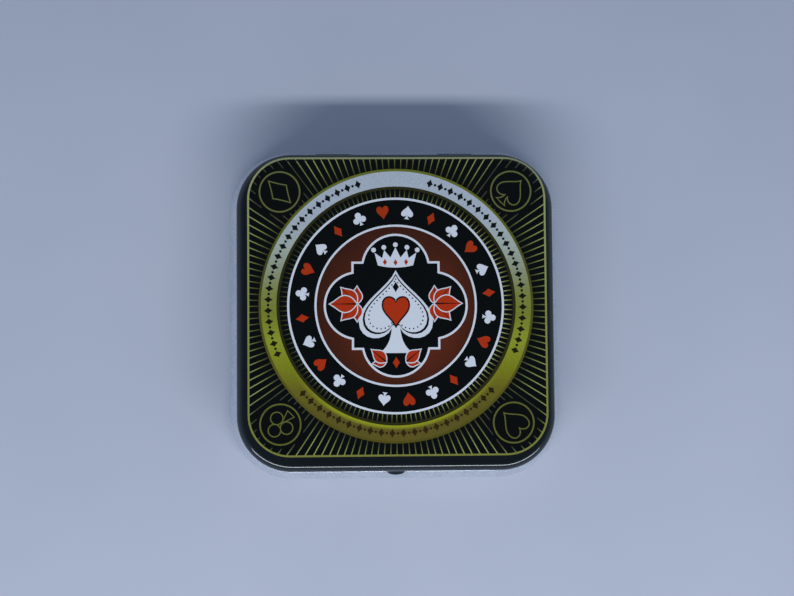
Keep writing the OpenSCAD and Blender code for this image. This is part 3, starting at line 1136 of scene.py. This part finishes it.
set_finish("base_shell", bare_tinplate())
set_finish("lid_shell", black_coated_tinplate())
print("tin: bare base, black coated lid")

# %% [markdown]
# ## Foam
#
# Three sheets of black closed-cell foam hold the button: a plain one on the floor, one with a die-cut
# pocket and two finger notches, and a thin one glued in the lid. Closed-cell foam is matt black with
# a skin of tiny cells, about 0.3 mm wide, drawn half as wide again so that they show. The die
# squeezes the sheet as it cuts, so the edges come out slightly rounded. Each sheet is built from its
# outline, drawn in a little at the top and bottom.

# %% Black closed-cell foam

CELL_MM = 0.45


def black_foam():
    """Matt and deep black, with a dull sheen at a slant and a fine leathery grain of cells."""
    material, tree, shader = new_material("black_closed_cell_foam")
    place = in_millimetres(tree)
    cells = add_node(tree, "ShaderNodeTexVoronoi", {
        "Vector": place, "Scale": 1 / CELL_MM, "Randomness": 1.0}).outputs["Distance"]
    fine = add_node(tree, "ShaderNodeTexNoise", {"Vector": place, "Scale": 1 / 0.15, "Detail": 3})
    clouds = add_node(tree, "ShaderNodeTexNoise", {"Vector": place, "Scale": 1 / 14, "Detail": 3})
    tone = add_node(tree, "ShaderNodeMath", {0: cells, 1: 0.5, 2: clouds}, operation="MULTIPLY_ADD")
    tint = ramp(tree, tone, [(0.4, "#0F1011"), (0.75, "#1D1E20"), (1.05, "#303134")])
    tree.links.new(tint.outputs[0], shader.inputs["Base Color"])
    shader.inputs["Roughness"].default_value = 0.92
    shader.inputs["Sheen Weight"].default_value = 0.25
    shader.inputs["Sheen Roughness"].default_value = 0.5
    height = add_node(tree, "ShaderNodeMath", {0: fine, 1: 0.6, 2: cells}, operation="MULTIPLY_ADD")
    bump = add_node(tree, "ShaderNodeBump", {"Height": height, "Strength": 0.9, "Distance": 0.2 * MM})
    tree.links.new(bump.outputs[0], shader.inputs["Normal"])
    return material


FOAM = black_foam()

# %% Foam sheets

FOAM_EDGE = 0.45
POCKET_R = 25.3
FINGER_R = 8.0
FINGER_TURNS = (-45, 135)


def pocket():
    """A round pocket with a notch for a fingertip on either side."""
    away = BUTTON_R
    half = math.degrees(math.acos((POCKET_R**2 + away**2 - FINGER_R**2) / (2 * POCKET_R * away)))
    meets = Vector(arc(0, 0, POCKET_R, half, half, 1)[0]) - Vector((away, 0))
    sweep = math.degrees(math.atan2(meets.y, meets.x))
    stretches = []
    for turn in FINGER_TURNS:
        middle = arc(0, 0, away, turn, turn, 1)[0]
        stretches.append(arc(*middle, FINGER_R, turn - sweep, turn + sweep, 24))
        stretches.append(arc(0, 0, POCKET_R, turn + half, turn + 180 - half, 60))
    loop = joined(*stretches)
    return loop[:-1] if math.dist(loop[0], loop[-1]) < 1e-6 else loop


def foam_sheet(name, node, hole=None):
    """A sheet with the outline of its CAD node and softly rounded edges."""
    low, high = node_box(node)
    outer = split_sides(rounded_square(high.x, high.x - CORNER_C, 16), 4)
    loops = [outer] + ([hole] if hole else [])
    steps = [math.radians(90 * i / 4) for i in range(5)]
    levels = [(1 - math.sin(a), low.z + FOAM_EDGE * (1 - math.cos(a))) for a in steps]
    levels += [(1 - math.cos(a), high.z - FOAM_EDGE * (1 - math.sin(a))) for a in steps]
    made = bmesh.new()
    rows = []
    for inset, z in levels:
        drawn = [offset(loops[0], -FOAM_EDGE * inset)] + [offset(h, FOAM_EDGE * inset) for h in loops[1:]]
        rows.append([[made.verts.new((x, y, z)) for x, y in loop] for loop in drawn])
    for lower, upper in zip(rows, rows[1:]):
        for a, b in zip(lower, upper):
            for i in range(len(a)):
                made.faces.new((a[i - 1], a[i], b[i], b[i - 1]))
    for row in (rows[0], rows[-1]):
        corners = [v for loop in row for v in loop]
        for triangle in tessellate_polygon([[v.co for v in loop] for loop in row]):
            made.faces.new([corners[i] for i in triangle])
    bmesh.ops.recalc_face_normals(made, faces=made.faces)
    obj = piece(name, made, FOAM)
    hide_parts(node)
    print(name, "is", round(high.z - low.z, 2), "mm thick")
    return obj


base_sheet = foam_sheet("foam_floor_sheet", "foam_base")
pocket_sheet = foam_sheet("foam_pocket_sheet", "foam_insert", pocket())
lid_sheet = foam_sheet("foam_lid_sheet", "lid_foam")
for obj, body in ((base_sheet, "base"), (pocket_sheet, "base"), (lid_sheet, "lid")):
    shaded(obj, 50)
    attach(obj, body)

# %% [markdown]
# ## The button
#
# The button is die-cast zinc alloy, plated to look like old brass: a flat disc with a raised rim on
# both faces and a reeded edge, like a coin's. Its body is a lathed shape, a profile turned round the
# middle. The reeds on its edge and the fine beads on its rims repeat, so the ring tree sets them.

# %% Plated metal


def plated_brass():
    """Antique brass plating: cloudy between brown and bright, finely brushed."""
    material, tree, shader = new_material("antique_brass_plating")
    place = in_millimetres(tree)
    clouds = add_node(tree, "ShaderNodeTexNoise", {"Vector": place, "Scale": 1 / 3, "Detail": 5})
    scuffs = add_node(tree, "ShaderNodeTexNoise", {
        "Vector": place, "Scale": 1 / 0.35, "Detail": 3, "Distortion": 1.0})
    tint = ramp(tree, clouds, [(0.3, "#8E6A2E"), (0.5, "#BD9647"), (0.7, "#D0AA5A")])
    tree.links.new(tint.outputs[0], shader.inputs["Base Color"])
    shader.inputs["Metallic"].default_value = 1.0
    rough = add_node(tree, "ShaderNodeMapRange", {
        "Value": scuffs, "From Min": 0.3, "From Max": 0.7, "To Min": 0.22, "To Max": 0.42})
    tree.links.new(rough.outputs[0], shader.inputs["Roughness"])
    bump = add_node(tree, "ShaderNodeBump", {"Height": scuffs, "Strength": 0.08, "Distance": 0.02 * MM})
    tree.links.new(bump.outputs[0], shader.inputs["Normal"])
    return material


BRASS = plated_brass()

# %% Lathed body with reeds and beads

RIM_W = 2.0
RIM_ROUND = 0.12
RECESS = 0.5
REED_R = 0.16
REEDS = 180
BEAD_R = 0.42
BEADS = 108
BEAD_FLAT = 0.45
EDGE_ROUND = 0.35
core_low, core_high = node_box("button_core")


def lathe(profile, steps=144):
    """Turns a profile of (radius, height) round the middle, with a single point at each pole."""
    made = bmesh.new()
    rows = []
    for radius, z in profile:
        spots = [(0, 0)] if radius == 0 else circle(radius, steps=steps)
        rows.append([made.verts.new((x, y, z)) for x, y in spots])
    for a, b in zip(rows, rows[1:]):
        for i in range(steps):
            corners = [a[(i - 1) % len(a)], a[i % len(a)], b[i % len(b)], b[(i - 1) % len(b)]]
            made.faces.new(list(dict.fromkeys(corners)))
    bmesh.ops.recalc_face_normals(made, faces=made.faces)
    return made


def button_profile():
    """Half the button's section: the front recess, the rim and the edge, then the same for the back."""
    top, edge, rim = core_high.z, BUTTON_R - REED_R, BUTTON_R - RIM_W
    front = joined(
        [(0, top - RECESS), (rim, top - RECESS)],
        arc(rim + RIM_ROUND, top - RIM_ROUND, RIM_ROUND, 180, 90, 3),
        arc(edge - EDGE_ROUND, top - EDGE_ROUND, EDGE_ROUND, 90, 0, 5))
    return front + [(r, core_low.z + top - z) for r, z in reversed(front)]


def bead_ring(name, z):
    """Flattened beads half sunk in a rim at height z."""
    bead = bmesh.new()
    bmesh.ops.create_icosphere(bead, subdivisions=1, radius=BEAD_R)
    for vertex in bead.verts:
        vertex.co.z = vertex.co.z * BEAD_FLAT + z
    return shaded(ring_of(name, bead, BRASS, BEADS, BUTTON_R - RIM_W / 2))


button = shaded(piece("button_body", lathe(button_profile()), BRASS))
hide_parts("button_core")
reed = plate([[circle(REED_R, steps=8)]], core_high.z - EDGE_ROUND, core_low.z + EDGE_ROUND)
reeds = shaded(ring_of("button_reeds", reed, BRASS, REEDS, BUTTON_R - REED_R))
front_beads = bead_ring("button_front_beads", core_high.z)
back_beads = bead_ring("button_back_beads", core_low.z)
for obj in (button, reeds, front_beads, back_beads):
    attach(obj, "base")
print("button body and", REEDS, "reeds,", BEADS, "beads a face")

# %% [markdown]
# ## Printed discs and clear domes
#
# A printed vinyl disc is stuck in each recess, and clear epoxy resin is poured over it. Surface
# tension draws the resin into a shallow dome that ends at the rim. As glass that bends light, the
# dome would also hide the lamps from the print under it. Here it is a mix of clear and gloss that
# grows at a slant, as Fresnel's law has it: it looks the same, and it lets the light through. Only
# its outer side reflects, for the resin is glued to the print without any air between them.

# %% Disc and dome


def vinyl():
    """The printed disc's own black, seen as a thin dark edge round the design."""
    return plain_ink("black_printed_vinyl", "#0B0D0D", 0.2)


def clear_resin():
    """Clear and wet-looking: nothing in it but a sharp reflection that grows at a slant."""
    material, tree, shader = new_material("clear_epoxy_resin")
    tree.nodes.remove(shader)
    place = in_millimetres(tree)
    waves = add_node(tree, "ShaderNodeTexNoise", {"Vector": place, "Scale": 1 / 5, "Detail": 1})
    bump = add_node(tree, "ShaderNodeBump", {"Height": waves, "Strength": 0.05, "Distance": 0.02 * MM})
    facing = add_node(tree, "ShaderNodeLayerWeight", {"Blend": 0.5}).outputs["Facing"]
    slant = add_node(tree, "ShaderNodeMath", {0: facing, 1: 5.0}, operation="POWER")
    edge = add_node(tree, "ShaderNodeMath", {0: slant, 1: 0.96, 2: 0.04}, operation="MULTIPLY_ADD")
    inside = add_node(tree, "ShaderNodeNewGeometry").outputs["Backfacing"]
    front = add_node(tree, "ShaderNodeMath", {0: 1.0, 1: inside}, operation="SUBTRACT")
    edge = add_node(tree, "ShaderNodeMath", {0: edge, 1: front}, operation="MULTIPLY")
    clear = add_node(tree, "ShaderNodeBsdfTransparent", {"Color": colour("#F7F9FA")})
    gloss = add_node(tree, "ShaderNodeBsdfAnisotropic", {"Roughness": 0.04, "Normal": bump})
    mixed = add_node(tree, "ShaderNodeMixShader", {0: edge, 1: clear, 2: gloss})
    tree.links.new(mixed.outputs[0], tree.nodes["Material Output"].inputs["Surface"])
    return material


RESIN = clear_resin()
DISC = vinyl()
DOME_CLEAR = 0.2
DOME_ROUND = 0.1
DOME_STEPS = 16


def dome(name, node, print_z, crown_z, rim_z):
    """A clear cap from just above the print up to its crown, with the CAD dome's radius."""
    up = 1 if crown_z > print_z else -1
    rise = abs(crown_z - rim_z)
    ball = (PRINT_R**2 + rise**2) / (2 * rise)
    radii = [(PRINT_R - DOME_ROUND) * i / DOME_STEPS for i in range(DOME_STEPS)]
    cap = [(r, crown_z - up * (ball - math.sqrt(ball**2 - r**2))) for r in radii]
    floor_z = print_z + up * DOME_CLEAR
    side = [(PRINT_R - 0.02, rim_z - up * 0.02), (PRINT_R, rim_z - up * DOME_ROUND), (PRINT_R, floor_z)]
    made = lathe(cap + side + [(0, floor_z)])
    obj = shaded(piece(name, made, RESIN), 60)
    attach(obj, "base")
    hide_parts(node)
    return obj


dome("front_resin_dome", "front_dome", FRONT_Z, node_box("front_dome")[1].z, core_high.z)
dome("back_resin_dome", "back_dome", BACK_Z, node_box("back_dome")[0].z, core_low.z)
set_finish("front_print", DISC)
set_finish("back_print", DISC)
print("domes rise", round(node_box("front_dome")[1].z - core_high.z, 2), "mm above the rims")

# %% [markdown]
# ## Stage
#
# The tin lies on a plain pale table top. A long narrow softbox in front of it, half way up, throws
# the soft shadow behind the tin and draws the thin bright line along the lid's front edge. A dim sky
# that is brighter near the horizon fills the shadows. Its zenith stays dark, so that the glossy black
# lid doesn't turn grey. The light is a little cool, as from a window on an overcast day.

# %% Table top


def pale_board():
    """Matt painted board: even and pale, with soft clouds and a grain that only breaks up its sheen."""
    material, tree, shader = new_material("matt_pale_board")
    place = in_millimetres(tree)
    clouds = add_node(tree, "ShaderNodeTexNoise", {"Vector": place, "Scale": 1 / 60, "Detail": 4})
    tint = ramp(tree, clouds, [(0.3, "#C9CBD5"), (0.7, "#CFD0DA")])
    tree.links.new(tint.outputs[0], shader.inputs["Base Color"])
    shader.inputs["Roughness"].default_value = 0.7
    shader.inputs["IOR"].default_value = 1.3
    grain = add_node(tree, "ShaderNodeTexNoise", {"Vector": place, "Scale": 2.5, "Detail": 3})
    bump = add_node(tree, "ShaderNodeBump", {"Height": grain, "Strength": 0.05, "Distance": 0.05 * MM})
    tree.links.new(bump.outputs[0], shader.inputs["Normal"])
    return material


FLOOR_HALF = 3000
FLOOR_THICK = 20
board = mirrored([(FLOOR_HALF, FLOOR_HALF), (FLOOR_HALF, -FLOOR_HALF)])
floor = piece("table_top", plate([[board]], 0, -FLOOR_THICK), pale_board())

# %% Lights

SOFTBOX_W = 0.75
SOFTBOX_H = 0.045
SOFTBOX_AWAY = 0.45
SOFTBOX_UP = 48.0
SOFTBOX_POWER = 1.62
SKY_STEPS = [(0.0, 0.5), (0.2, 0.46), (0.45, 0.36), (0.8, 0.2), (1.0, 0.08)]
KEY_TINT = (0.855, 0.92, 1.0)
SKY_TINT = (0.75, 0.99, 1.36)


def add_softbox():
    """A long narrow area lamp in front of the tin, aimed at it."""
    lamp = bpy.data.lights.new("softbox", "AREA")
    lamp.shape = "RECTANGLE"
    lamp.size, lamp.size_y = SOFTBOX_W, SOFTBOX_H
    lamp.energy = SOFTBOX_POWER
    lamp.color = KEY_TINT
    obj = bpy.data.objects.new("softbox", lamp)
    bpy.context.scene.collection.objects.link(obj)
    up = math.radians(SOFTBOX_UP)
    obj.location = (0, -SOFTBOX_AWAY * math.cos(up), SOFTBOX_AWAY * math.sin(up))
    obj.rotation_euler = (math.pi / 2 - up, 0, 0)


def add_sky():
    """A cool sky whose brightness falls from the horizon to the zenith."""
    world = bpy.data.worlds.new("soft_sky")
    world.use_nodes = True
    tree = world.node_tree
    tree.nodes.clear()
    height = add_node(tree, "ShaderNodeSeparateXYZ", {
        "Vector": add_node(tree, "ShaderNodeTexCoord").outputs["Generated"]}).outputs["Z"]
    node = add_node(tree, "ShaderNodeValToRGB", {"Fac": height})
    points = node.color_ramp.elements
    while len(points) < len(SKY_STEPS):
        points.new(0.5)
    for point, (place, level) in zip(points, SKY_STEPS):
        point.position = place
        point.color = (*[level * c for c in SKY_TINT], 1)
    sky = add_node(tree, "ShaderNodeBackground", {"Color": node})
    add_node(tree, "ShaderNodeOutputWorld", {"Surface": sky})
    bpy.context.scene.world = world


add_softbox()
add_sky()
bpy.context.scene.view_settings.view_transform = "Standard"
print("softbox", SOFTBOX_W, "m wide at", SOFTBOX_UP, "degrees")

# %% [markdown]
# ## Camera
#
# The camera looks almost straight down, from about 36 cm above the lid, as one would hold it over a
# table. It leans a few degrees, so it is given by the two angles that it leans by and a small roll.

# %% Camera

LENS = 72.0
LEAN_SIDE = math.radians(2.34)
LEAN_BACK = math.radians(3.81)
ROLL = math.radians(0.49)
LOOK_AT = (0.275, 3.045, LID_TOP)
LOOK_FROM = 359.2


def add_camera():
    """Stands the camera along its two leans, turns it by the roll and makes it the scene's camera."""
    data = bpy.data.cameras.new("camera")
    data.lens = LENS
    data.sensor_width = 36.0
    data.clip_start = 0.01
    obj = bpy.data.objects.new("camera", data)
    bpy.context.scene.collection.objects.link(obj)
    up = Vector((math.tan(LEAN_SIDE), math.tan(LEAN_BACK), 1)).normalized()
    right = Vector((math.cos(ROLL), math.sin(ROLL), 0))
    right = (right - right.dot(up) * up).normalized()
    turn = Matrix((right, up.cross(right), up))
    place = Vector(LOOK_AT) + turn @ Vector((0, 0, LOOK_FROM))
    obj.matrix_world = Matrix.Translation(place * MM) @ turn.to_4x4()
    bpy.context.scene.camera = obj
    return obj


print("camera at", [round(x, 3) for x in add_camera().location])
